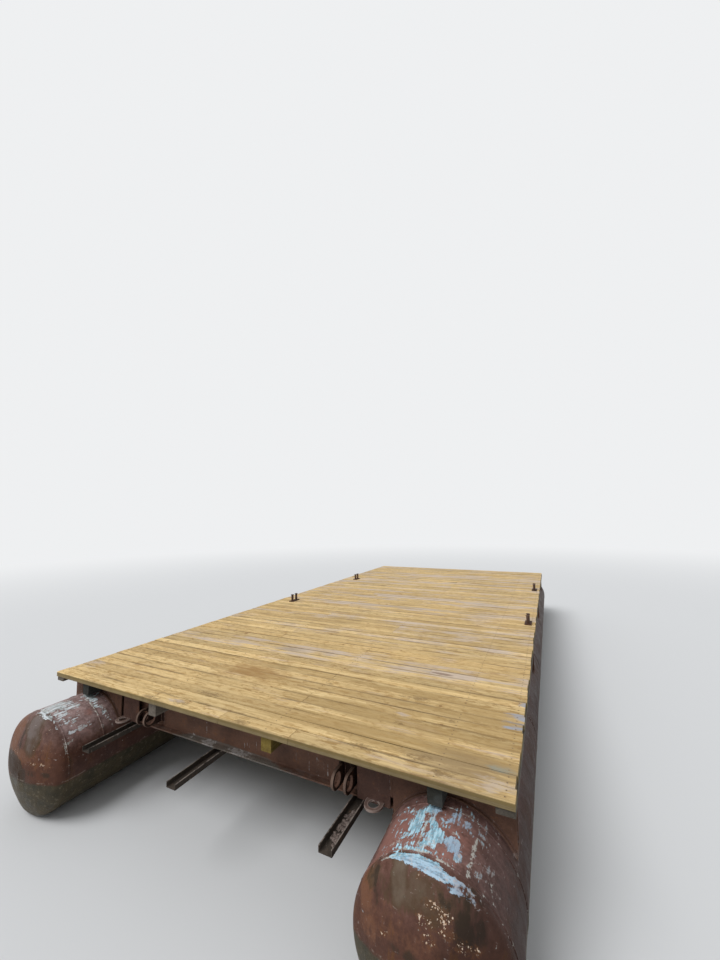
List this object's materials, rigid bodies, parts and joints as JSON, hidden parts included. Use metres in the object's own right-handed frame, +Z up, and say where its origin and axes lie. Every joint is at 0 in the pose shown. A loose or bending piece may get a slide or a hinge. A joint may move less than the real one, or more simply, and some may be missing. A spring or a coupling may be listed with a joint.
{
  "type": "floating pontoon platform",
  "caption": "Floating landing platform: timber board deck on a rusted steel frame over two long cylinder floats with dished ends, coupling lugs and mooring posts.",
  "frame": {"origin": "under the middle of the platform, level with the lowest line of the floats", "axes": "+X across the deck to the right as seen from the front end, +Y along the floats towards the rear end, +Z up"},
  "size_m": [5.34, 11.61, 1.39],
  "materials": {
    "deck_timber": "rough sawn, lightly weathered",
    "grey_timber": "old, grey and damp",
    "fresh_timber": "fresh sawn",
    "float_paint": "red-brown anticorrosive paint with rust and remnants of old pale paint",
    "frame_paint": "matt red-brown paint, scuffed and rusted",
    "lug_steel": "rusted, worn pale at the edges",
    "guide_steel": "dark, rusted and muddy",
    "post_steel": "rusted"
  },
  "bodies": {
    "root": {"deck": "deck_timber", "left_edge_joist": "grey_timber", "left_float_joist": "grey_timber", "left_inner_joist": "grey_timber", "middle_joist": "fresh_timber", "right_float_joist": "grey_timber", "right_edge_joist": "grey_timber", "left_float_barrel": "float_paint", "left_float_front_head": "float_paint", "left_float_rear_head": "float_paint", "right_float_barrel": "float_paint", "right_float_front_head": "float_paint", "right_float_rear_head": "float_paint", "front_girder": "frame_paint", "front_inner_girder": "frame_paint", "rear_inner_girder": "frame_paint", "rear_girder": "frame_paint", "left_front_saddle": "frame_paint", "left_front_inner_saddle": "frame_paint", "left_rear_inner_saddle": "frame_paint", "left_rear_saddle": "frame_paint", "right_front_saddle": "frame_paint", "right_front_inner_saddle": "frame_paint", "right_rear_inner_saddle": "frame_paint", "right_rear_saddle": "frame_paint", "left_guide_channel": "guide_steel", "middle_guide_channel": "guide_steel", "right_guide_channel": "guide_steel", "left_front_lugs": "lug_steel", "left_rear_lugs": "lug_steel", "right_front_lugs": "lug_steel", "right_rear_lugs": "lug_steel", "left_front_pad_eye": "lug_steel", "left_rear_pad_eye": "lug_steel", "right_front_pad_eye": "lug_steel", "right_rear_pad_eye": "lug_steel", "left_front_posts": "post_steel", "left_rear_posts": "post_steel", "right_front_posts": "post_steel", "right_rear_posts": "post_steel"}
  },
  "joints": []
}
